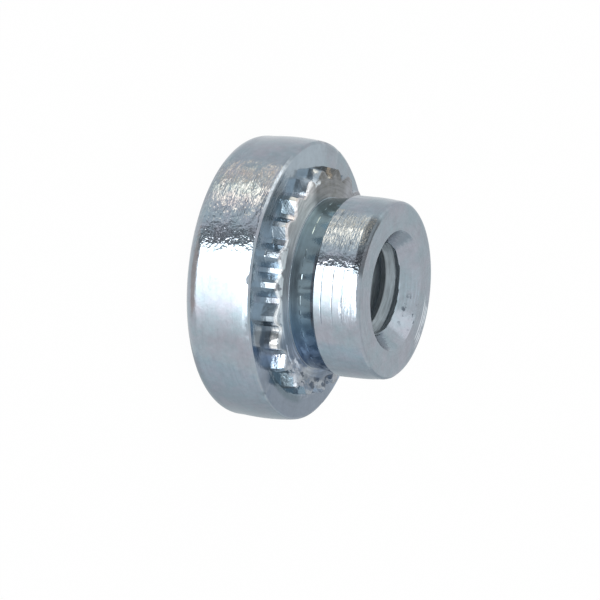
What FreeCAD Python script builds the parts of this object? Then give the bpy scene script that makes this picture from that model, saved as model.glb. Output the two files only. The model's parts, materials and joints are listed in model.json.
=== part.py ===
import FreeCAD, Part
import math
import os

# Self-clinching nut for an M2.5 screw, in millimetres.
# It is turned from one bar of steel: a round head, a serrated ring on the head's front
# face, a relief groove and a collar. The groove's floor curves back towards the ring. The
# collar goes through a 4.25 mm hole in a sheet, and the sheet's metal flows round the
# serrations into the groove when the nut is pressed in.
# +Z runs along the axis, out of the head towards the collar. The origin is the centre of
# the head's flat back face, which the nut stands on.

# Lengths along the axis, from the back face up
head_thickness = 1.75
ring_height = 0.385
groove_width = 0.65
collar_land_length = 0.5
collar_lead_length = 0.655

# Radial sizes, from the axis outwards. The head's side swells out between its edges.
thread_minor_diameter = 2.05
collar_diameter = 4.22
collar_lead_drop = 0.04
groove_depth = 0.125
ring_width = 0.455
tooth_depth = 0.23
tooth_draft = 0.035
head_rim_width = 0.57
head_side_bulge = 0.045

# Edges
head_back_round = 0.42
head_front_chamfer = 0.07
ring_edge_chamfer = 0.03
collar_back_chamfer = 0.03
collar_front_round = 0.115

# Countersinks at the two ends of the thread
countersink_angle = 90.0
front_countersink_width = 0.375
back_countersink_width = 0.3

# Serrations round the ring
tooth_count = 22
tooth_crest_width = 0.13
notch_floor_width = 0.12
first_tooth_angle = 1.2

# Worked out from the sizes above
bore_radius = thread_minor_diameter / 2
collar_radius = collar_diameter / 2
collar_front_radius = collar_radius - collar_lead_drop
neck_radius = collar_radius - groove_depth
groove_rise = groove_depth - collar_back_chamfer
notch_floor_radius = neck_radius + ring_width
crest_radius = notch_floor_radius + tooth_depth
ring_edge_radius = crest_radius - tooth_draft
head_radius = crest_radius + head_rim_width

ring_base_z = head_thickness
ring_top_z = ring_base_z + ring_height
collar_base_z = ring_top_z + groove_width
collar_lead_z = collar_base_z + collar_land_length
collar_top_z = collar_lead_z + collar_lead_length
ring_edge_z = ring_top_z - ring_edge_chamfer
front_edge_z = collar_top_z - collar_front_round

countersink_slope = math.tan(math.radians(countersink_angle / 2))
front_countersink_depth = front_countersink_width / countersink_slope
back_countersink_depth = back_countersink_width / countersink_slope


def point(radius, z):
    """A point of the turned section, in the plane of the axis and +X."""
    return FreeCAD.Vector(radius, 0, z)


def line(start, end):
    return Part.LineSegment(start, end).toShape()


def arc(start, middle, end):
    return Part.Arc(start, middle, end).toShape()


def quarter_round(start, centre, end):
    """The quarter circle from start to end about centre, on its outer side."""
    middle_way = (start - centre) + (end - centre)
    middle = centre + middle_way.normalize() * start.distanceToPoint(centre)
    return arc(start, middle, end)


def turned_section():
    """The section that the lathe cuts, as a closed face beside the axis."""
    back_bore = point(bore_radius, back_countersink_depth)
    back_bore_rim = point(bore_radius + back_countersink_width, 0)
    back_edge = point(head_radius - head_back_round, 0)
    back_round_centre = point(head_radius - head_back_round, head_back_round)
    back_round_end = point(head_radius, head_back_round)
    head_side_middle = point(head_radius + head_side_bulge, ring_base_z / 2 + head_back_round / 2)
    head_edge = point(head_radius, ring_base_z - head_front_chamfer)
    head_face_rim = point(head_radius - head_front_chamfer, ring_base_z)
    ring_foot = point(crest_radius, ring_base_z)
    ring_edge = point(ring_edge_radius, ring_edge_z)
    ring_face_rim = point(ring_edge_radius - ring_edge_chamfer, ring_top_z)
    neck_foot = point(neck_radius, ring_top_z)
    groove_middle = point(neck_radius + groove_rise / 4, ring_top_z + groove_width / 2)
    collar_back_rim = point(collar_radius - collar_back_chamfer, collar_base_z)
    collar_back_edge = point(collar_radius, collar_base_z + collar_back_chamfer)
    collar_lead_edge = point(collar_radius, collar_lead_z)
    lead_middle = point(collar_radius - collar_lead_drop / 4, (collar_lead_z + front_edge_z) / 2)
    collar_front_edge = point(collar_front_radius, front_edge_z)
    front_round_centre = point(collar_front_radius - collar_front_round, front_edge_z)
    collar_face_rim = point(collar_front_radius - collar_front_round, collar_top_z)
    front_bore_rim = point(bore_radius + front_countersink_width, collar_top_z)
    front_bore = point(bore_radius, collar_top_z - front_countersink_depth)
    edges = [
        line(back_bore, back_bore_rim),
        line(back_bore_rim, back_edge),
        quarter_round(back_edge, back_round_centre, back_round_end),
        arc(back_round_end, head_side_middle, head_edge),
        line(head_edge, head_face_rim),
        line(head_face_rim, ring_foot),
        line(ring_foot, ring_edge),
        line(ring_edge, ring_face_rim),
        line(ring_face_rim, neck_foot),
        arc(neck_foot, groove_middle, collar_back_rim),
        line(collar_back_rim, collar_back_edge),
        line(collar_back_edge, collar_lead_edge),
        arc(collar_lead_edge, lead_middle, collar_front_edge),
        quarter_round(collar_front_edge, front_round_centre, collar_face_rim),
        line(collar_face_rim, front_bore_rim),
        line(front_bore_rim, front_bore),
        line(front_bore, back_bore),
    ]
    return Part.Face(Part.Wire(edges))


def turned_blank():
    axis_point = FreeCAD.Vector(0, 0, 0)
    axis = FreeCAD.Vector(0, 0, 1)
    return turned_section().revolve(axis_point, axis, 360)


def notch(middle_angle):
    """The metal between two teeth, as two leaning wedges. The first follows the ring's side,
    from the head's face up, and the second follows its chamfer and goes on past its top."""
    pitch_angle = 2 * math.pi / tooth_count
    floor_half_angle = notch_floor_width / notch_floor_radius / 2
    mouth_half_angle = (pitch_angle - tooth_crest_width / crest_radius) / 2
    outside_radius = head_radius + head_side_bulge
    corners = [
        (notch_floor_radius, -floor_half_angle),
        (notch_floor_radius, floor_half_angle),
        (crest_radius, mouth_half_angle),
        (outside_radius, mouth_half_angle),
        (outside_radius, -mouth_half_angle),
        (crest_radius, -mouth_half_angle),
    ]
    outline = [
        FreeCAD.Vector(
            radius * math.cos(middle_angle + turn),
            radius * math.sin(middle_angle + turn),
            ring_base_z,
        )
        for radius, turn in corners
    ]
    face = Part.Face(Part.makePolygon(outline + outline[:1]))
    inward = FreeCAD.Vector(-math.cos(middle_angle), -math.sin(middle_angle), 0)
    up = FreeCAD.Vector(0, 0, 1)
    along_side = inward * tooth_draft + up * (ring_edge_z - ring_base_z)
    along_chamfer = (inward + up) * (ring_edge_chamfer * 2)
    lower = face.extrude(along_side)
    face.translate(along_side)
    return lower.fuse(face.extrude(along_chamfer))


def notches():
    pitch_angle = 2 * math.pi / tooth_count
    first_middle = math.radians(first_tooth_angle) + pitch_angle / 2
    return [notch(first_middle + number * pitch_angle) for number in range(tooth_count)]


def clinch_nut():
    """The turned blank with the serrations cut into its ring, its flat faces left whole."""
    return turned_blank().cut(notches()).removeSplitter().Solids[0]


os.makedirs("parts", exist_ok=True)
clinch_nut().exportStep("parts/clinch_nut.step")
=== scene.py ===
import json
import math

import bmesh
import bpy
from mathutils import Matrix, Vector


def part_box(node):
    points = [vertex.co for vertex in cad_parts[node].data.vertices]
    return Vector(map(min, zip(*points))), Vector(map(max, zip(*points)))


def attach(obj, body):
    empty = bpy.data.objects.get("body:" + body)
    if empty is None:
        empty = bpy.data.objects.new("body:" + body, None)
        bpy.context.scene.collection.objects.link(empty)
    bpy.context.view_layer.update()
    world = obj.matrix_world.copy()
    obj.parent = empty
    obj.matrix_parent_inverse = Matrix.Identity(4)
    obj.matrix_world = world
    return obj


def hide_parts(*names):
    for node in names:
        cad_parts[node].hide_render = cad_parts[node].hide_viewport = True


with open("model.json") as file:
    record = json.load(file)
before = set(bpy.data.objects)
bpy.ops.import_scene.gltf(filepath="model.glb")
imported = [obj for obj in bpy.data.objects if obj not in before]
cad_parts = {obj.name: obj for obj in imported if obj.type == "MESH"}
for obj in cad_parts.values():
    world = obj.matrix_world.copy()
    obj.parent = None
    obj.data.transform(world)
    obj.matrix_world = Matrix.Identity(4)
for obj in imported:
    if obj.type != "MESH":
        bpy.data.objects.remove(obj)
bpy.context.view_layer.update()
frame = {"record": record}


# The nut: a round head, a serrated ring, a tapered groove and a collar, turned in one piece
# from a steel bar, with a tapped hole through them all. The teeth are pressed into the ring,
# and the zinc plating leaves it bright with a blue tint. Its sizes are in millimetres.
mm = 1000.0
mounts = {mount["name"]: mount for mount in frame["record"]["mounts"]}
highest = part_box("clinch_nut")[1]
nut_height = highest.z * mm
head_side_bulge = 0.045
head_radius = highest.x * mm - head_side_bulge
head_thickness = mounts["sheet_seat"]["pos_m"][2] * mm
bore_radius = mounts["thread"]["dims"]["r_mm"]
collar_radius = mounts["collar"]["dims"]["r_mm"]

ring_height = 0.385
groove_width = 0.65
collar_land = 0.5
collar_lead_drop = 0.04
groove_depth = 0.125
ring_width = 0.455
tooth_depth = 0.23
tooth_draft = 0.035
first_tooth_turn = 1.2 / 360
head_runout = (-0.0156, -0.0368)
neck_radius = collar_radius - groove_depth
crest_radius = neck_radius + ring_width + tooth_depth
ring_top = head_thickness + ring_height
ring_edge_chamfer = 0.03
ring_edge = ring_top - ring_edge_chamfer
collar_base = ring_top + groove_width
collar_lead = collar_base + collar_land

head_back_round = 0.42
head_front_chamfer = 0.055
head_front_round = 0.02
head_face_fall = 0.02
head_flat_width = 0.15
collar_back_chamfer = 0.03
collar_back_round = 0.012
collar_front_round = 0.115
neck_round = 0.01
front_rim = bore_radius + 0.375
back_rim = bore_radius + 0.3

tooth_count = 22
tooth_columns = 12
crest_columns = 1
flank_columns = 4
# The rows of the ring's top: out from the neck, how far a tooth gap cuts it, how worn it is
ring_top_rows = (
    (0.54, 0.62, 0.5), (0.44, 0.22, 0.5), (0.34, 0, 0.5), (0.24, 0, 0.4), (0.14, 0, 0.3),
)
# The two battered sides of the ring: the turn back to each, in radians, and the cosines
# at which the damage starts and is full
battered_sides = ((0.09, 0.74, 0.86), (2.6, 0.8, 0.9))

thread_pitch = 0.45
thread_major_radius = 1.25
thread_rows = 24
thread_crest_rows = (2, 3)
thread_flank_rows = (10, 7)
thread_start_turn = 0.248


class Wire:
    """A socket of a node tree. Sums written on wires add the tree's Math nodes."""

    def __init__(self, tree, socket=None):
        self.tree = tree
        self.socket = socket

    def node(self, kind, settings=None, sockets=None, output=0):
        """Adds a node: its settings first, then the values or wires of its sockets. A list
        gives one socket several wires."""
        node = self.tree.nodes.new(kind)
        for name, value in (settings or {}).items():
            if name == "stops":
                ramp = node.color_ramp
                while len(ramp.elements) < len(value):
                    ramp.elements.new(0.5)
                for element, (place, colour) in zip(ramp.elements, value):
                    element.position = place
                    element.color = (*colour, 1.0)
            else:
                setattr(node, name, value)
        for name, values in (sockets or {}).items():
            for value in values if isinstance(values, list) else [values]:
                if isinstance(value, Wire):
                    self.tree.links.new(value.socket, node.inputs[name])
                else:
                    node.inputs[name].default_value = value
        return Wire(self.tree, node.outputs[output] if node.outputs else None)

    def math(self, operation, *others):
        """A Math node with this value first and the others after it."""
        sockets = dict(enumerate((self, *others)))
        return self.node("ShaderNodeMath", {"operation": operation}, sockets)

    def math_after(self, operation, other):
        """The same with this value second."""
        return self.node("ShaderNodeMath", {"operation": operation}, {0: other, 1: self})

    def spread(self, low, high, to_low=0.0, to_high=1.0):
        """This value taken from one range to another, and held at its ends."""
        return self.node("ShaderNodeMapRange", {"clamp": True}, {
            "Value": self, "From Min": low, "From Max": high,
            "To Min": to_low, "To Max": to_high,
        })

    def fade(self, low, high):
        """1 up to the low value, falling to 0 at the high one."""
        return self.spread(low, high, 1.0, 0.0)

    def __add__(self, other):
        return self.math("ADD", other)

    def __radd__(self, other):
        return self.math_after("ADD", other)

    def __sub__(self, other):
        return self.math("SUBTRACT", other)

    def __rsub__(self, other):
        return self.math_after("SUBTRACT", other)

    def __mul__(self, other):
        return self.math("MULTIPLY", other)

    def __rmul__(self, other):
        return self.math_after("MULTIPLY", other)

    def __truediv__(self, other):
        return self.math("DIVIDE", other)

    def __rtruediv__(self, other):
        return self.math_after("DIVIDE", other)


def turned_corners():
    """The corners of the line that the lathe cuts, from the back rim of the hole round to
    its front rim. Each has its radius, its height and its rounding, then how far a tooth gap
    cuts it, how far the head's runout moves it, and how far its edge is knocked about."""
    side_middle = (head_thickness + head_back_round) / 2
    side_half = head_thickness - side_middle
    corners = [(back_rim, 0.0, 0.0, 0, 0, 0), (head_radius, 0.0, head_back_round, 0, 1, 0)]
    for step in range(-4, 5):
        part = step * 0.2
        bulge = head_side_bulge * (1 - part ** 2)
        corners.append((head_radius + bulge, side_middle + side_half * part, 0.0, 0, 1, 0))
    face_rim = head_thickness - head_face_fall
    corners += [
        (head_radius, head_thickness - head_front_chamfer, head_front_round, 0, 1, 1),
        (head_radius - head_front_chamfer, face_rim, head_front_round, 0, 1, 1),
        (crest_radius + head_flat_width, head_thickness, 0.0, 0, 1, 0),
        (crest_radius, head_thickness, 0.0, 1, 1, 0),
        (crest_radius - tooth_draft / 2, (head_thickness + ring_edge) / 2, 0.0, 1, 1, 0.2),
        (crest_radius - tooth_draft, ring_edge, 0.0, 1, 1, 0.6),
        (crest_radius - tooth_draft - ring_edge_chamfer, ring_top, 0.0, 1, 1, 0.6),
    ]
    for from_neck, gap, knocks in ring_top_rows:
        corners.append((neck_radius + from_neck, ring_top, 0.0, gap, 1, knocks))
    corners.append((neck_radius, ring_top, neck_round, 0, 0, 0))
    collar_back_rim = collar_radius - collar_back_chamfer
    for part in (0.25, 0.5, 0.75):
        radius = neck_radius + (collar_back_rim - neck_radius) * part ** 2
        corners.append((radius, ring_top + groove_width * part, 0.0, 0, 0, 0))
    corners += [
        (collar_back_rim, collar_base, collar_back_round, 0, 0, 0),
        (collar_radius, collar_base + collar_back_chamfer, collar_back_round, 0, 0, 0.4),
        (collar_radius, collar_lead, 0.0, 0, 0, 0),
    ]
    for part in (0.2, 0.4, 0.6, 0.8):
        height = collar_lead + (nut_height - collar_front_round - collar_lead) * part
        corners.append((collar_radius - collar_lead_drop * part ** 2, height, 0.0, 0, 0, 0))
    corners += [
        (collar_radius - collar_lead_drop, nut_height, collar_front_round, 0, 0, 0),
        (front_rim, nut_height, 0.0, 0, 0, 0),
    ]
    return corners


def turned_profile(corners, steps_per_mm=30, fewest_steps=3, shoulder=0.01):
    """The corners' points with their marks, each rounding drawn as an arc with a short
    shoulder on both its sides."""
    line = []
    for number, (radius, height, rounding, *marks) in enumerate(corners):
        corner = Vector((radius, height))
        if rounding == 0.0:
            line.append((corner, marks))
            continue
        before = (Vector(corners[number - 1][:2]) - corner).normalized()
        after = (Vector(corners[number + 1][:2]) - corner).normalized()
        half = before.angle(after) / 2
        reach = rounding / math.tan(half)
        centre = corner + (before + after).normalized() * (rounding / math.sin(half))
        first = corner + before * reach
        sweep = (first - centre).angle_signed(corner + after * reach - centre)
        steps = max(fewest_steps, round(rounding * steps_per_mm))
        line.append((first + before * shoulder, marks))
        for step in range(steps + 1):
            arm = (first - centre).copy()
            arm.rotate(Matrix.Rotation(-sweep * step / steps, 2))
            line.append((centre + arm, marks))
        line.append((corner + after * (reach + shoulder), marks))
    return line


profile = turned_profile(turned_corners())
profile_mesh = bpy.data.meshes.new("turned_profile")
profile_mesh.from_pydata([(point.x, 0.0, point.y) for point, marks in profile], [], [])
for place, name in enumerate(("tooth_gap", "runout", "knocks")):
    values = profile_mesh.attributes.new(name, "FLOAT", "POINT")
    for number, (point, marks) in enumerate(profile):
        values.data[number].value = marks[place]
nut = bpy.data.objects.new("clinch_nut_blank", profile_mesh)
bpy.context.scene.collection.objects.link(nut)

plating = bpy.data.materials.new("zinc_plated_steel")
plating.use_nodes = True

shape = bpy.data.node_groups.new("nut_shape", "GeometryNodeTree")
shape.interface.new_socket("Profile", in_out="INPUT", socket_type="NodeSocketGeometry")
shape.interface.new_socket("Nut", in_out="OUTPUT", socket_type="NodeSocketGeometry")
shape_sizes = {
    "Teeth": tooth_count,
    "Columns per tooth": tooth_columns,
    "Profile points": len(profile),
    "Tooth depth": tooth_depth,
    "Crest columns": float(crest_columns),
    "Flank columns": float(flank_columns),
    "Unevenness": 0.012,
    "Crest seed": 3,
    "Lean seed": 7,
    "Lean": 0.25,
    "Knocks": 0.05,
    "Knock scale": 2.3,
    "Ruggedness": 0.11,
    "Rugged scale": 3.4,
    "Head thickness": head_thickness,
    "Runout X": head_runout[0],
    "Runout Y": head_runout[1],
    "First tooth turn": first_tooth_turn,
    "Thread pitch": thread_pitch,
    "Thread core radius": bore_radius,
    "Thread outer radius": thread_major_radius,
    "Thread rows": thread_rows,
    "Thread lower crest rows": float(thread_crest_rows[0]),
    "Thread upper crest rows": float(thread_crest_rows[1]),
    "Thread lower flank rows": float(thread_flank_rows[0]),
    "Thread upper flank rows": float(thread_flank_rows[1]),
    "Thread turns": math.ceil(nut_height / thread_pitch) + 2,
    "Thread start turn": thread_start_turn,
    "Thread shallow from": 0.75,
    "Thread shallow to": 0.55,
    "Thread shallow depth": 0.66,
    "Thread end from": 0.36,
    "Thread end to": 0.24,
    "Height": nut_height,
    "Front rim radius": front_rim,
    "Back rim radius": back_rim,
    "Joining distance": 0.0004,
    "Sharp edge": math.radians(24),
}
identifiers = {}
for name, value in shape_sizes.items():
    kind = "NodeSocketInt" if isinstance(value, int) else "NodeSocketFloat"
    item = shape.interface.new_socket(name, in_out="INPUT", socket_type=kind)
    identifiers[name] = item.identifier
start = Wire(shape).node("NodeGroupInput")
entry = start.socket.node
size = {name: Wire(shape, entry.outputs[name]) for name in shape_sizes}
columns = size["Teeth"] * size["Columns per tooth"]
index = start.node("GeometryNodeInputIndex")


def grid(rows, columns):
    """A flat grid, and the row and the column of each of its points."""
    around = columns + 1
    mesh = start.node("GeometryNodeMeshGrid", None, {"Vertices X": rows, "Vertices Y": around})
    row = (index / around).math("FLOOR")
    return mesh, row, index - row * around


def placed(mesh, radius, turn, height):
    """The grid's points moved to a radius, a turn about the axis and a height."""
    angle = (turn + size["First tooth turn"]) * (2 * math.pi)
    place = start.node("ShaderNodeCombineXYZ", None, {
        "X": radius * angle.math("COSINE"), "Y": radius * angle.math("SINE"), "Z": height,
    })
    return start.node("GeometryNodeSetPosition", None, {"Geometry": mesh, "Position": place})


# The body: the turned line taken round the axis, with its ring rows cut by the tooth gaps.
mesh, row, column = grid(size["Profile points"], columns)
position = start.node("GeometryNodeInputPosition")
point = start.node("GeometryNodeSampleIndex", {"data_type": "FLOAT_VECTOR"}, {
    "Geometry": start, "Value": position, "Index": row,
})


def mark(name):
    """One of the profile's marks, at the grid's row."""
    named = start.node("GeometryNodeInputNamedAttribute", {"data_type": "FLOAT"}, {"Name": name})
    return start.node("GeometryNodeSampleIndex", {"data_type": "FLOAT"}, {
        "Geometry": start, "Value": named, "Index": row,
    })


profile_radius = point.node("ShaderNodeSeparateXYZ", None, {0: point}, "X")
profile_height = point.node("ShaderNodeSeparateXYZ", None, {0: point}, "Z")
gap = mark("tooth_gap")
half_tooth = size["Columns per tooth"] / 2
tooth = ((column + half_tooth) / size["Columns per tooth"]).math("FLOOR")
from_crest = (column - tooth * size["Columns per tooth"]).math("ABSOLUTE")
cut = ((from_crest - size["Crest columns"]) / size["Flank columns"]).spread(0.0, 1.0)
tooth_number = tooth.math("FLOORED_MODULO", size["Teeth"])


def uneven(seed):
    """A small seeded difference from tooth to tooth."""
    return start.node("FunctionNodeRandomValue", {"data_type": "FLOAT"}, {
        2: -1.0, 3: 1.0, "ID": tooth_number, "Seed": seed,
    }, 1) * size["Unevenness"]


radius = profile_radius - gap * (
    cut * size["Tooth depth"] + uneven(size["Crest seed"]) * (1 - cut)
)
lean = gap * uneven(size["Lean seed"]) * size["Lean"] * (1 - from_crest / half_tooth)
body = placed(mesh, radius, column / columns + lean, profile_height)


def lumps(scale, detail):
    """Seeded lumps over the body, from the places of its points."""
    return start.node("ShaderNodeTexNoise", {"noise_dimensions": "3D"}, {
        "Vector": position, "Scale": scale, "Detail": detail, "Roughness": 0.6,
    })


turn_about = column / columns * (2 * math.pi)
lower_side, upper_side = (
    (turn_about + turn_back).math("COSINE").spread(starts, full)
    for turn_back, starts, full in battered_sides
)
on_ring = (profile_height - size["Head thickness"]).spread(0.05, 0.15)
knock = lumps(size["Knock scale"], 3.0).spread(0.56, 0.78) * mark("knocks") * size["Knocks"]
rugged = lumps(size["Rugged scale"], 2.0).spread(0.46, 0.68) * mark("knocks") * on_ring
knock = knock + rugged * (lower_side + upper_side) * size["Ruggedness"]
inward = start.node("ShaderNodeVectorMath", {"operation": "NORMALIZE"}, {0: position})
inward = start.node("ShaderNodeVectorMath", {"operation": "SCALE"}, {
    0: inward, "Scale": 0 - knock,
})
out_of_true = start.node("ShaderNodeCombineXYZ", None, {
    "X": mark("runout") * size["Runout X"], "Y": mark("runout") * size["Runout Y"],
})
moved = start.node("ShaderNodeVectorMath", {"operation": "ADD"}, {0: inward, 1: out_of_true})
body = start.node("GeometryNodeSetPosition", None, {"Geometry": body, "Offset": moved})

# The thread: one long strip wound up the hole, a pitch wide, from below the nut to above it.
# The countersinks open it at both ends, where the strip meets the body's rims.
mesh, row, column = grid(size["Thread rows"] + 1, columns * size["Thread turns"])
lower = (row - size["Thread lower crest rows"]) / size["Thread lower flank rows"]
upper = size["Thread rows"] - size["Thread upper crest rows"] - row
upper = upper / size["Thread upper flank rows"]
turn = column / columns
height = turn + row / size["Thread rows"] - 1 - size["Thread start turn"]
height = (height * size["Thread pitch"]).math("MAXIMUM", 0.0).math("MINIMUM", size["Height"])
depth = lower.math("MINIMUM", upper).spread(0.0, 1.0)
depth = depth * height.spread(
    size["Height"] - size["Thread shallow from"], size["Height"] - size["Thread shallow to"],
    1.0, size["Thread shallow depth"],
)
depth = depth * height.fade(
    size["Height"] - size["Thread end from"], size["Height"] - size["Thread end to"],
)
wall = size["Thread outer radius"] - size["Thread core radius"]
wall = size["Thread core radius"] + depth * wall
wall = wall.math("MAXIMUM", size["Front rim radius"] - (size["Height"] - height))
wall = wall.math("MAXIMUM", size["Back rim radius"] - height)
thread = placed(mesh, wall, turn, height)

whole = start.node("GeometryNodeJoinGeometry", None, {"Geometry": [body, thread]})
whole = start.node("GeometryNodeMergeByDistance", None, {
    "Geometry": whole, "Distance": size["Joining distance"],
})
edge_angle = start.node("GeometryNodeInputMeshEdgeAngle")
smooth = start.node("FunctionNodeCompare", {"data_type": "FLOAT", "operation": "LESS_THAN"}, {
    0: edge_angle, 1: size["Sharp edge"],
})
for domain, choice in (("FACE", True), ("EDGE", smooth)):
    whole = start.node("GeometryNodeSetShadeSmooth", {"domain": domain}, {
        "Geometry": whole, "Shade Smooth": choice,
    })
whole = start.node("GeometryNodeRealizeInstances", None, {"Geometry": whole})
whole = start.node("GeometryNodeSetMaterial", None, {"Geometry": whole, "Material": plating})
start.node("NodeGroupOutput", None, {"Nut": whole})

former = nut.modifiers.new("nut_shape", "NODES")
former.node_group = shape
for name, value in shape_sizes.items():
    former[identifiers[name]] = value
evaluated = nut.evaluated_get(bpy.context.evaluated_depsgraph_get())
nut_mesh = bpy.data.meshes.new_from_object(evaluated)
nut.modifiers.remove(former)
nut_mesh.transform(Matrix.Scale(1 / mm, 4))
clinch_nut = bpy.data.objects.new("zinc_plated_clinch_nut", nut_mesh)
bpy.context.scene.collection.objects.link(clinch_nut)
bpy.data.objects.remove(nut)

shell = bmesh.new()
shell.from_mesh(nut_mesh)
bmesh.ops.recalc_face_normals(shell, faces=shell.faces)
shell.to_mesh(nut_mesh)
shell.free()

# The finish: turning marks that run round the nut, pits and waves in the plating, scuffed
# and knocked places, a blue tint that comes and goes, and painted shade, shadows and
# highlights on some sides. Bearings are degrees round the axis from +X: where each place
# starts and ends, and how soft its ends are.
bearings = {
    "streaks": (-138.0, -108.0, 3.0),
    "rough side": (-106.0, -94.0, 2.5),
    "rough head": (-116.0, -104.0, 3.0),
    "rough collar edge": (-137.0, -92.0, 3.0),
    "worn side": (-38.0, 35.0, 8.0),
    "collar scores": (-86.0, -48.0, 6.0),
    "collar rings": (-98.0, -55.0, 6.0),
    "collar face marks": (56.0, 90.0, 5.0),
    "shaded groove": (-104.0, -58.0, 6.0),
    "groove's far edge": (-104.0, -56.0, 4.0),
    "blue groove": (-60.0, 48.0, 12.0),
    "deep blue groove": (-42.0, 44.0, 10.0),
    "bright seat": (-178.0, -50.0, 6.0),
    "lower seat": (-50.0, 60.0, 8.0),
    "seat below the ring": (-34.0, 8.0, 4.0),
    "blue seat": (-42.0, 45.0, 6.0),
    "toned seat": (-63.0, -49.0, 2.0),
    "shaded seat": (-133.0, -108.0, 4.0),
    "bright rim": (-142.0, -114.0, 5.0),
    "pale ring": (-146.0, -102.0, 5.0),
    "brown ring": (-190.0, -148.0, 3.0),
    "bright crests": (-106.0, -52.0, 4.0),
    "light ring": (-74.0, -14.0, 5.0),
    "grey ring": (-60.0, -40.0, 5.0),
    "dark ring": (2.0, 44.0, 6.0),
    "blotched ring": (-32.0, 40.0, 5.0),
    "polished crest": (-147.0, -139.0, 1.0),
    "polished upper tooth": (-156.0, -149.5, 1.0),
    "polished lower tooth": (-57.0, -44.0, 1.0),
    "dark foot of the upper teeth": (-136.0, -120.0, 1.0),
    "dark foot of the lower teeth": (-28.0, -10.0, 2.0),
}

tree = plating.node_tree
tree.nodes.clear()
paint = Wire(tree)
place = paint.node("ShaderNodeTexCoord", None, None, "Object")
place = paint.node("ShaderNodeVectorMath", {"operation": "SCALE"}, {0: place, "Scale": mm})
split = paint.node("ShaderNodeSeparateXYZ", None, {0: place}).socket.node.outputs
x, y, z = (Wire(tree, socket) for socket in split)
radius = (x * x + y * y).math("SQRT")
around = y.math("ARCTAN2", x) * (180 / math.pi)


def noise(scale, detail=2.0, roughness=0.5, vector=place):
    return paint.node("ShaderNodeTexNoise", {"noise_dimensions": "3D"}, {
        "Vector": vector, "Scale": scale, "Detail": detail, "Roughness": roughness,
    })


def drawn_round(along, across, roughness):
    """Noise drawn out round the axis: its scale along the turning, and the value that it
    changes with across the turning."""
    vector = paint.node("ShaderNodeCombineXYZ", None, {
        "X": x * along, "Y": y * along, "Z": across,
    })
    return noise(scale=1.0, detail=3.0, roughness=roughness, vector=vector)


def between(value, low, high, soft):
    """1 where the value lies between low and high, with soft edges."""
    return value.spread(low - soft, low + soft) * value.fade(high - soft, high + soft)


def side(name):
    """1 on the side of the nut with the named bearings."""
    return between(around, *bearings[name])


# The surfaces of the nut
on_collar = z.spread(collar_base - 0.05, collar_base)
outside = radius.spread(2.0, 2.08) * (1 - between(z, head_thickness, collar_base, 0.02))
groove = between(z, ring_top + 0.012, collar_base, 0.01)
groove = groove * radius.fade(collar_radius - 0.03, collar_radius - 0.02)
groove_end_shade = groove * z.spread(collar_base - 0.08, collar_base - 0.05)
ring_face = between(radius, neck_radius + 0.02, crest_radius + 0.02, 0.015)
ring_face = ring_face * z.spread(ring_top - 0.08, ring_top - 0.05)
ring_face = ring_face * z.fade(ring_top + 0.005, ring_top + 0.015)
teeth = between(radius, 2.4, 2.72, 0.02)
teeth = teeth * between(z, head_thickness + 0.004, ring_top - 0.004, 0.004)
seat_height = between(z, head_thickness - 0.05, ring_top, 0.01)
seat = between(radius, crest_radius - 0.2, 3.2, 0.02) * seat_height
rim = radius.spread(3.17, 3.19) * z.spread(head_thickness - 0.062, head_thickness - 0.052)
below_cone = (radius - z + nut_height - front_rim).spread(0.005, 0.03)
inside = below_cone * radius.fade(thread_major_radius + 0.01, thread_major_radius + 0.03)
collar_face = z.spread(nut_height - 0.4, nut_height - 0.3)

# The relief, with its depths in millimetres
turning_depth = 0.0034
collar_turning_depth = 0.003
streak_depth = 0.021
collar_streak_depth = 0.024
score_depth = 0.018
ripple_depth = 0.066
collar_ripple_loss = 0.05
wave_depth = 0.005
pit_depth = 0.0026
press_depth = 0.006
wear_depth = 0.02
grit_depth = 0.016
scratch_depth = 0.006

turning = drawn_round(1.2, (z + radius) * 12, 0.6)
ripples = drawn_round(1.5, (z + radius) * 5.5, 0.62)
pits = noise(scale=13.0)
patches = noise(scale=1.1).spread(0.42, 0.6, 0.35, 1.0)
waves = noise(scale=1.3, detail=1.0)
grit = noise(scale=9.5, roughness=0.6)
battering = noise(scale=5.0, detail=3.0, roughness=0.6)
streaked = side("streaks") * outside
# The collar's front edge on one side is roughened, and also painted darker there as shade.
rough_shaded_edge = side("rough collar edge") * z.spread(nut_height - 0.24, nut_height - 0.19)
rough_shaded_edge = rough_shaded_edge * radius.spread(1.95, 1.98)
rough_head = side("rough head") * between(z, 0.3, 1.15, 0.2)
rough = side("rough side") * outside + streaked * (0.2 - on_collar * 0.16) + rough_head * 0.6
rough = rough.math("MAXIMUM", rough_shaded_edge)
pressed = between(radius, 2.22, 2.72, 0.04)
pressed = pressed * between(z, head_thickness - 0.1, ring_top + 0.03, 0.01)
worn = side("worn side")
scored = side("collar scores") * on_collar
scored = scored * between(z, nut_height - 0.5, nut_height - 0.08, 0.04)
scratch = between(z, ring_top + 0.28, ring_top + 0.31, 0.012) * groove
scratch = scratch * noise(scale=5.0).spread(0.48, 0.58)
cut_half_width = 0.012
for from_base in (0.21, 0.49, 0.74):
    cut_at = collar_base + from_base
    cut_ring = between(z, cut_at - cut_half_width, cut_at + cut_half_width, 0.01)
    scratch = scratch - cut_ring * side("collar rings") * 0.8
smooth = 1 - groove * 0.75
marks_depth = (
    streaked * (on_collar * collar_streak_depth + streak_depth)
    + scored * score_depth + on_collar * collar_turning_depth + turning_depth
)
relief = (
    (turning - 0.5) * smooth * marks_depth
    + (ripples - 0.5) * streaked * (ripple_depth - on_collar * collar_ripple_loss)
    + waves * wave_depth
    + pits * patches * smooth * (1 - pressed * 0.8) * pit_depth
    + battering * pressed * (worn * wear_depth + press_depth)
    + grit * rough * grit_depth + scratch * scratch_depth
)
bump = paint.node("ShaderNodeBump", None, {
    "Height": relief, "Distance": 1 / mm, "Strength": 1.0,
})
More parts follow.
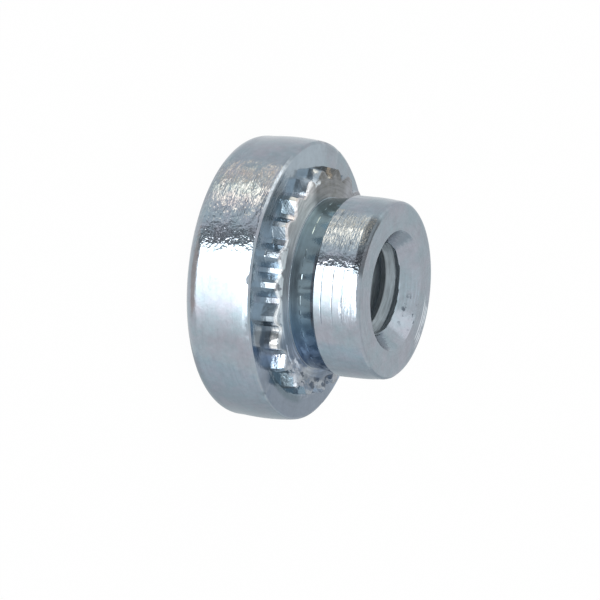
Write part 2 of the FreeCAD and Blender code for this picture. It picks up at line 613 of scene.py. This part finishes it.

# The colours, each laid over the ones before it; some are painted shade, shadows and highlights
plating_blue = (0.305, 0.375, 0.42, 1.0)
plating_grey = (0.345, 0.365, 0.415, 1.0)
drawn_out = paint.node("ShaderNodeCombineXYZ", None, {"X": x, "Y": y * 0.4, "Z": z})
blotches = noise(scale=6.0, detail=3.0, roughness=0.55, vector=drawn_out)
# Painted shade at the foot of the teeth, where they rise from the head's face.
foot_side = side("dark foot of the upper teeth")
foot = foot_side * z.fade(head_thickness + 0.12, head_thickness + 0.2)
foot_side = side("dark foot of the lower teeth")
foot = (foot + foot_side * z.fade(ring_top - 0.2, ring_top - 0.12)) * teeth
face_nicks_and_glints = side("collar face marks") * collar_face
nicked = face_nicks_and_glints * between(radius, 1.13, 1.42, 0.02)
nicked = nicked * noise(scale=8.0).spread(0.55, 0.6)
# Painted highlights: three thin arcs on the collar's front face painted pale, where turning lines
# would glint.
glinting_arcs = sum(
    between(radius, inner, outer, 0.012)
    for inner, outer in ((1.74, 1.77), (1.825, 1.855), (1.895, 1.925))
)
glinting_arcs = glinting_arcs * face_nicks_and_glints * noise(scale=3.0).spread(0.42, 0.5)
bright_crests = ring_face * side("bright crests")
bright_crests = bright_crests * between(radius, 2.32, 2.66, 0.03) * blotches.spread(0.38, 0.46)
upper_groove = groove * around.fade(-140.0, -112.0)
# A painted shadow on the head's face just below the ring.
shadow_below_ring = seat * side("seat below the ring") * radius.fade(2.78, 2.86) * 0.8
brown_side = side("brown ring") + around.spread(166.0, 172.0)
brown_ring = (ring_face + teeth * 0.3) * brown_side * blotches.spread(0.36, 0.5, 1.0, 0.6)
far_teeth = teeth * (around.fade(-173.0, -170.0) + around.spread(170.0, 173.0))
# A painted highlight: the upper part of one tooth's side painted white.
lower_tooth_highlight = teeth * side("polished lower tooth")
lower_tooth_highlight = lower_tooth_highlight * z.spread(head_thickness + 0.12, head_thickness + 0.15)
# A painted highlight: the crest edge of one tooth on the ring's top painted white.
painted_crest_highlight = ring_face * side("polished crest") * radius.spread(2.48, 2.52)
# A painted shadow: the ring's top painted dark blue next to the neck on one side.
neck_shadow_on_ring = ring_face * side("dark ring") * radius.fade(2.2, 2.32)
blotched_ring = ring_face * side("blotched ring") * blotches.spread(0.5, 0.58)
# A painted highlight along the head's front chamfer on one side, broken up by blotches.
painted_rim_highlight = rim * side("bright rim") * blotches.spread(0.34, 0.52, 0.45, 1.0)
cast = noise(scale=1.6, detail=4.0, roughness=0.65).spread(0.36, 0.64)
tint = paint.node("ShaderNodeMix", {"data_type": "RGBA"}, {
    "Factor": cast, 6: plating_blue, 7: plating_grey,
}, 2)


def laid_over(tint, where, colour):
    """The tint with a colour laid over it where the mask is 1."""
    return paint.node("ShaderNodeMix", {"data_type": "RGBA"}, {
        "Factor": where, 6: tint, 7: (*colour, 1.0),
    }, 2)


for where, colour in (
    (inside, (0.36, 0.42, 0.455)),
    (streaked * on_collar, (0.36, 0.42, 0.465)),
    (groove, (0.245, 0.335, 0.385)),
    (upper_groove, (0.295, 0.405, 0.435)),
    (groove * side("shaded groove"), (0.205, 0.26, 0.29)),
    (groove * side("blue groove"), (0.19, 0.29, 0.385)),
    (groove * side("deep blue groove"), (0.14, 0.22, 0.34)),
    # painted shade along the groove's far edge, under the collar's back rim
    (groove_end_shade * side("groove's far edge"), (0.12, 0.13, 0.15)),
    (seat * side("bright seat"), (0.37, 0.435, 0.49)),
    (seat * side("lower seat"), (0.32, 0.385, 0.475)),
    (shadow_below_ring, (0.19, 0.27, 0.325)),
    (ring_face, (0.30, 0.31, 0.335)),
    (ring_face * side("pale ring"), (0.62, 0.61, 0.61)),
    (brown_ring, (0.17, 0.175, 0.17)),
    (far_teeth, (0.13, 0.135, 0.135)),
    # a painted highlight on one tooth's side
    (teeth * side("polished upper tooth"), (0.8, 0.86, 0.9)),
    (lower_tooth_highlight, (1.0, 1.0, 1.0)),
    (painted_crest_highlight, (1.0, 1.0, 1.0)),
    (ring_face * worn, (0.34, 0.375, 0.41)),
    (ring_face * side("light ring"), (0.45, 0.49, 0.54)),
    (ring_face * side("grey ring"), (0.33, 0.38, 0.43)),
    (neck_shadow_on_ring, (0.15, 0.20, 0.27)),
    (blotched_ring, (0.19, 0.24, 0.31)),
    (bright_crests, (0.86, 0.91, 0.94)),
    (foot, (0.2, 0.26, 0.3)),
    (painted_rim_highlight, (0.6, 0.66, 0.71)),
    (nicked, (0.12, 0.15, 0.18)),
    (glinting_arcs, (0.85, 0.9, 0.95)),
):
    tint = laid_over(tint, where, colour)

# The larger dents and knocks on the ring's worn side, the dents painted dark as shade and the
# knocks painted pale as highlights: their bearing and radius, half their width in degrees and
# in millimetres, and their colour.
dent_shade = (0.045, 0.075, 0.12)
knock_highlight = (0.85, 0.9, 0.95)
wobble = noise(scale=7.0) - 0.5
wobble_degrees = 14
wobble_out = 0.16
for bearing, out_at, wide, long, colour in (
    (-12.0, 2.27, 5.5, 0.05, dent_shade), (3.0, 2.39, 3.2, 0.09, dent_shade),
    (8.5, 2.26, 4.5, 0.06, dent_shade), (19.0, 2.4, 3.0, 0.1, dent_shade),
    (26.3, 2.33, 6.0, 0.05, dent_shade), (9.0, 2.64, 3.5, 0.09, dent_shade),
    (27.8, 2.63, 3.0, 0.05, dent_shade), (-38.0, 2.33, 7.0, 0.04, knock_highlight),
    (-23.5, 2.2, 4.5, 0.06, knock_highlight), (-4.8, 2.62, 2.8, 0.05, knock_highlight),
):
    sideways = (around + wobble * wobble_degrees - bearing) / wide
    outwards = (radius + wobble * wobble_out - out_at) / long
    spot = (sideways * sideways + outwards * outwards).fade(0.5, 1.2) * ring_face
    tint = laid_over(tint, spot, colour)

# The tone: how much darker or lighter the marks make the colour, with painted shade in the hole,
# on three sides of the head's face and on the rough collar edge, and a painted highlight by the
# neck
tone = turning.spread(0.30, 0.46, 0.93, 1.0) * (1 - rough_shaded_edge * 0.62)
mottle = noise(scale=7.0, detail=4.0, roughness=0.7).spread(0.3, 0.7, 0.93, 1.07)
mottle = mottle * noise(scale=2.6).spread(0.3, 0.7, 0.96, 1.04)
# Painted shade in the hole: its walls a little darker, and the thread's crests darker still.
deep = z.spread(nut_height - 1.0, nut_height - 0.9, 0.95, 0.88)
deep = deep * radius.spread(bore_radius + 0.003, bore_radius + 0.02, 0.6, 1.0)
# Painted shade on the head's face: three sides of it painted darker.
seat_shade = side("blue seat") * between(radius, 2.66, 3.2, 0.02) * seat_height
seat_edge_shade = seat * side("toned seat") * radius.fade(3.0, 3.08)
shaded_seat = seat * side("shaded seat") * radius.spread(2.68, 2.8)
ring_marks_and_highlight = drawn_round(1.6, radius * 22, 0.65).spread(0.32, 0.68, -0.24, 0.24)
# A painted highlight: a pale line round the ring's top by the foot of the neck.
ring_marks_and_highlight = ring_marks_and_highlight + between(radius, 2.03, 2.08, 0.014) * 0.3
thread_marks = drawn_round(2, radius * 40 + z * 6, 0.6).spread(0.32, 0.68, -0.3, 0.3)
tone = tone * mottle * (1 - inside * (1 - deep)) * (1 - seat_shade * 0.33)
tone = tone * (1 - seat_edge_shade * 0.42) * (1 - shaded_seat * 0.48)
tone = tone * (ring_face * ring_marks_and_highlight + 1) * (inside * thread_marks + 1)
tint = paint.node("ShaderNodeVectorMath", {"operation": "SCALE"}, {0: tint, "Scale": tone})

dulling = noise(scale=6.0, detail=3.0) * 0.12
finish = paint.node("ShaderNodeBsdfPrincipled", None, {
    "Base Color": tint,
    "Metallic": 1.0 - inside * 0.5 - ring_face * 0.45 - bright_crests * 0.15,
    "Roughness": 0.09 + dulling + inside * 0.2 + ring_face * 0.2,
    "Normal": bump,
})
paint.node("ShaderNodeOutputMaterial", None, {"Surface": finish})

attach(clinch_nut, "root")
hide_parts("clinch_nut")


# The camera looks down past the collar at the nut. It is turned on its side, because the nut
# was photographed lying down.
view_azimuth = math.radians(4.38)
view_elevation = math.radians(24.2723)
view_roll = math.radians(96.16)
view_distance = 0.301738
view_target = Vector((0.0005186, -0.0008483, 0.0019566))


def direction(azimuth, elevation):
    """The way from the nut to a bearing and an elevation. Azimuth 0 is along -Y."""
    return Vector((
        math.sin(azimuth) * math.cos(elevation),
        -math.cos(azimuth) * math.cos(elevation),
        math.sin(elevation),
    ))


def facing(right, up, back, centre):
    """The place of a thing at centre, with its right side, its top and its back turned."""
    place = Matrix((right, up, back)).transposed().to_4x4()
    place.translation = centre
    return place


toward_camera = direction(view_azimuth, view_elevation)
level = Vector((math.cos(view_azimuth), math.sin(view_azimuth), 0.0))
upright = toward_camera.cross(level)
picture_right = level * math.cos(view_roll) + upright * math.sin(view_roll)
lens = bpy.data.cameras.new("camera")
lens.sensor_width = 36.0
lens.lens = 783.05
lens.clip_start = 0.01
lens.clip_end = 10.0
camera = bpy.data.objects.new("camera", lens)
camera.matrix_world = facing(
    picture_right, toward_camera.cross(picture_right), toward_camera,
    view_target + toward_camera * view_distance,
)
bpy.context.scene.collection.objects.link(camera)
bpy.context.scene.camera = camera


# The studio: a pale floor, a white surround, a soft box and two warm lamps on the camera's
# side, and grey and dark cards round them. They are cloth and card on stands, seen only as
# the bright metal mirrors them.
studio_middle = Vector((0.0, 0.0, 0.0025))


def flat_sheet(name, half_width, half_height):
    """A rectangle about its own middle, in the scene."""
    mesh = bpy.data.meshes.new(name)
    mesh.from_pydata([
        (-half_width, -half_height, 0), (half_width, -half_height, 0),
        (half_width, half_height, 0), (-half_width, half_height, 0),
    ], [], [(0, 1, 2, 3)])
    sheet = bpy.data.objects.new(name, mesh)
    bpy.context.scene.collection.objects.link(sheet)
    return sheet


def cleared(owner):
    """The node tree of a material or a world, emptied."""
    owner.use_nodes = True
    owner.node_tree.nodes.clear()
    return Wire(owner.node_tree)


def panel(name, bearings, elevations, colour, strength, distance=0.15):
    """A flat panel that faces the nut and fills a range of bearings, counted from the
    camera's, and of elevations. Its strength is one value, or a list of bearings with the
    strength at each."""
    middle = sum(bearings) / 2
    azimuth = view_azimuth + math.radians(middle)
    rise = math.radians(sum(elevations) / 2)
    outward = direction(azimuth, rise)
    across = Vector((math.cos(azimuth), math.sin(azimuth), 0.0))

    def sideways(bearing):
        return distance * math.tan(math.radians(bearing - middle)) * math.cos(rise)

    wide = sideways(bearings[1])
    high = distance * math.tan(math.radians(elevations[1] - elevations[0]) / 2)
    board = flat_sheet(name, wide, high)
    board.matrix_world = facing(
        across, outward.cross(across), outward, outward * distance + studio_middle,
    )
    board.visible_camera = False
    board.visible_shadow = False
    board.visible_diffuse = False
    cloth = bpy.data.materials.new(name + "_cloth")
    light = cleared(cloth)
    if isinstance(strength, list):
        spot = light.node("ShaderNodeTexCoord", None, None, "Object")
        spot = light.node("ShaderNodeSeparateXYZ", None, {0: spot}, "X")
        brightest = max(level for bearing, level in strength)
        stops = [
            (0.5 + 0.5 * sideways(bearing) / wide, (level / brightest,) * 3)
            for bearing, level in strength
        ]
        fading = light.node("ShaderNodeValToRGB", {"stops": stops}, {0: spot.spread(-wide, wide)})
        strength = fading * brightest
    glow = light.node("ShaderNodeEmission", None, {
        "Color": (*colour, 1.0), "Strength": strength,
    })
    light.node("ShaderNodeOutputMaterial", None, {"Surface": glow})
    board.data.materials.append(cloth)


white = (1.0, 1.0, 1.0)
warm = (1.0, 0.84, 0.68)
cool = (0.92, 0.96, 1.0)
panel("soft_box_lower", (-17.5, 56), (-39, -19), white, [
    (-17.5, 7.0), (-1, 6.0), (4, 3.2), (22, 2.7), (30, 2.2), (36, 1.6), (42, 1.35),
    (50, 1.12), (56, 1.0),
])
panel("soft_box_middle", (-17.5, 56), (-19, -7), white, [
    (-17.5, 7.5), (-1, 6.5), (6, 4.0), (24, 2.7), (30, 2.2), (36, 1.75), (42, 1.45),
    (50, 1.2), (56, 1.0),
])
panel("soft_box_upper", (-17.5, 50), (-7, 6), white, [
    (-17.5, 7.5), (28, 7.0), (34, 3.5), (40, 1.8), (50, 1.0),
])
panel("warm_lamp_upper", (-98, -57), (-24, -10), warm, [
    (-98, 1.0), (-95, 2.3), (-86, 2.3), (-81, 1.1), (-77, 1.1), (-74, 4.1), (-61, 4.1),
    (-57, 1.0),
])
panel("warm_lamp_lower", (-98, -57), (-33, -24), warm, [
    (-98, 1.0), (-77, 1.0), (-74, 4.0), (-61, 4.0), (-57, 1.0),
])
panel("dark_card", (-58, -17), (-60, 0), cool, [
    (-58, 1.08), (-46, 1.05), (-41, 0.75), (-35, 0.42), (-28, 0.28), (-17, 0.25),
], distance=0.16)
panel("upper_card", (-80, -14), (3, 17), cool, 0.3, distance=0.165)
panel("edge_card", (-118, -62), (34, 60), white, 1.45, distance=0.17)
panel("back_card", (135, 225), (2, 50), (0.97, 0.99, 1.0), 0.86, distance=0.2)
panel("top_card", (-175, -98), (-60, 17), (0.96, 0.98, 1.0), 0.88, distance=0.19)
panel("ceiling_card", (-70, 70), (19, 62), (0.95, 0.98, 1.0), 1.3, distance=0.18)
panel("low_card", (-40, 45), (-80, -42), (1.0, 0.86, 0.80), 0.8, distance=0.17)
panel("side_card", (84, 170), (-55, 25), (0.90, 0.96, 1.0), [
    (84, 1.0), (100, 0.92), (130, 0.68), (170, 0.6),
], distance=0.19)

floor_reach = 0.6
floor_whiteness = 0.97
floor = flat_sheet("floor", floor_reach, floor_reach)
floor.visible_glossy = False
floor_paper = bpy.data.materials.new("white_paper")
paper = cleared(floor_paper)
seen = paper.node("ShaderNodeLightPath", None, None, "Is Camera Ray") * floor_whiteness
matt = paper.node("ShaderNodeBsdfDiffuse", None, {"Color": (0.9, 0.9, 0.9, 1.0)})
backdrop = paper.node("ShaderNodeEmission", None, {"Color": (*white, 1.0), "Strength": 1.0})
mixed = paper.node("ShaderNodeMixShader", None, {0: seen, 1: matt, 2: backdrop})
paper.node("ShaderNodeOutputMaterial", None, {"Surface": mixed})
floor.data.materials.append(floor_paper)

world = bpy.data.worlds.new("studio")
bpy.context.scene.world = world
sky = cleared(world)
rays = sky.node("ShaderNodeLightPath").socket.node.outputs
camera_rays, glossy_rays, transmission_rays = (
    Wire(sky.tree, rays[name])
    for name in ("Is Camera Ray", "Is Glossy Ray", "Is Transmission Ray")
)
white_rays = (camera_rays + glossy_rays + transmission_rays).math("MINIMUM", 1.0)
plain = sky.node("ShaderNodeBackground", None, {"Color": (*white, 1.0), "Strength": 1.0})
backdrop = sky.node("ShaderNodeBackground", None, {"Color": (*white, 1.0), "Strength": 1.0})
mixed = sky.node("ShaderNodeMixShader", None, {0: white_rays, 1: plain, 2: backdrop})
sky.node("ShaderNodeOutputWorld", None, {"Surface": mixed})

bpy.context.scene.view_settings.view_transform = "Standard"
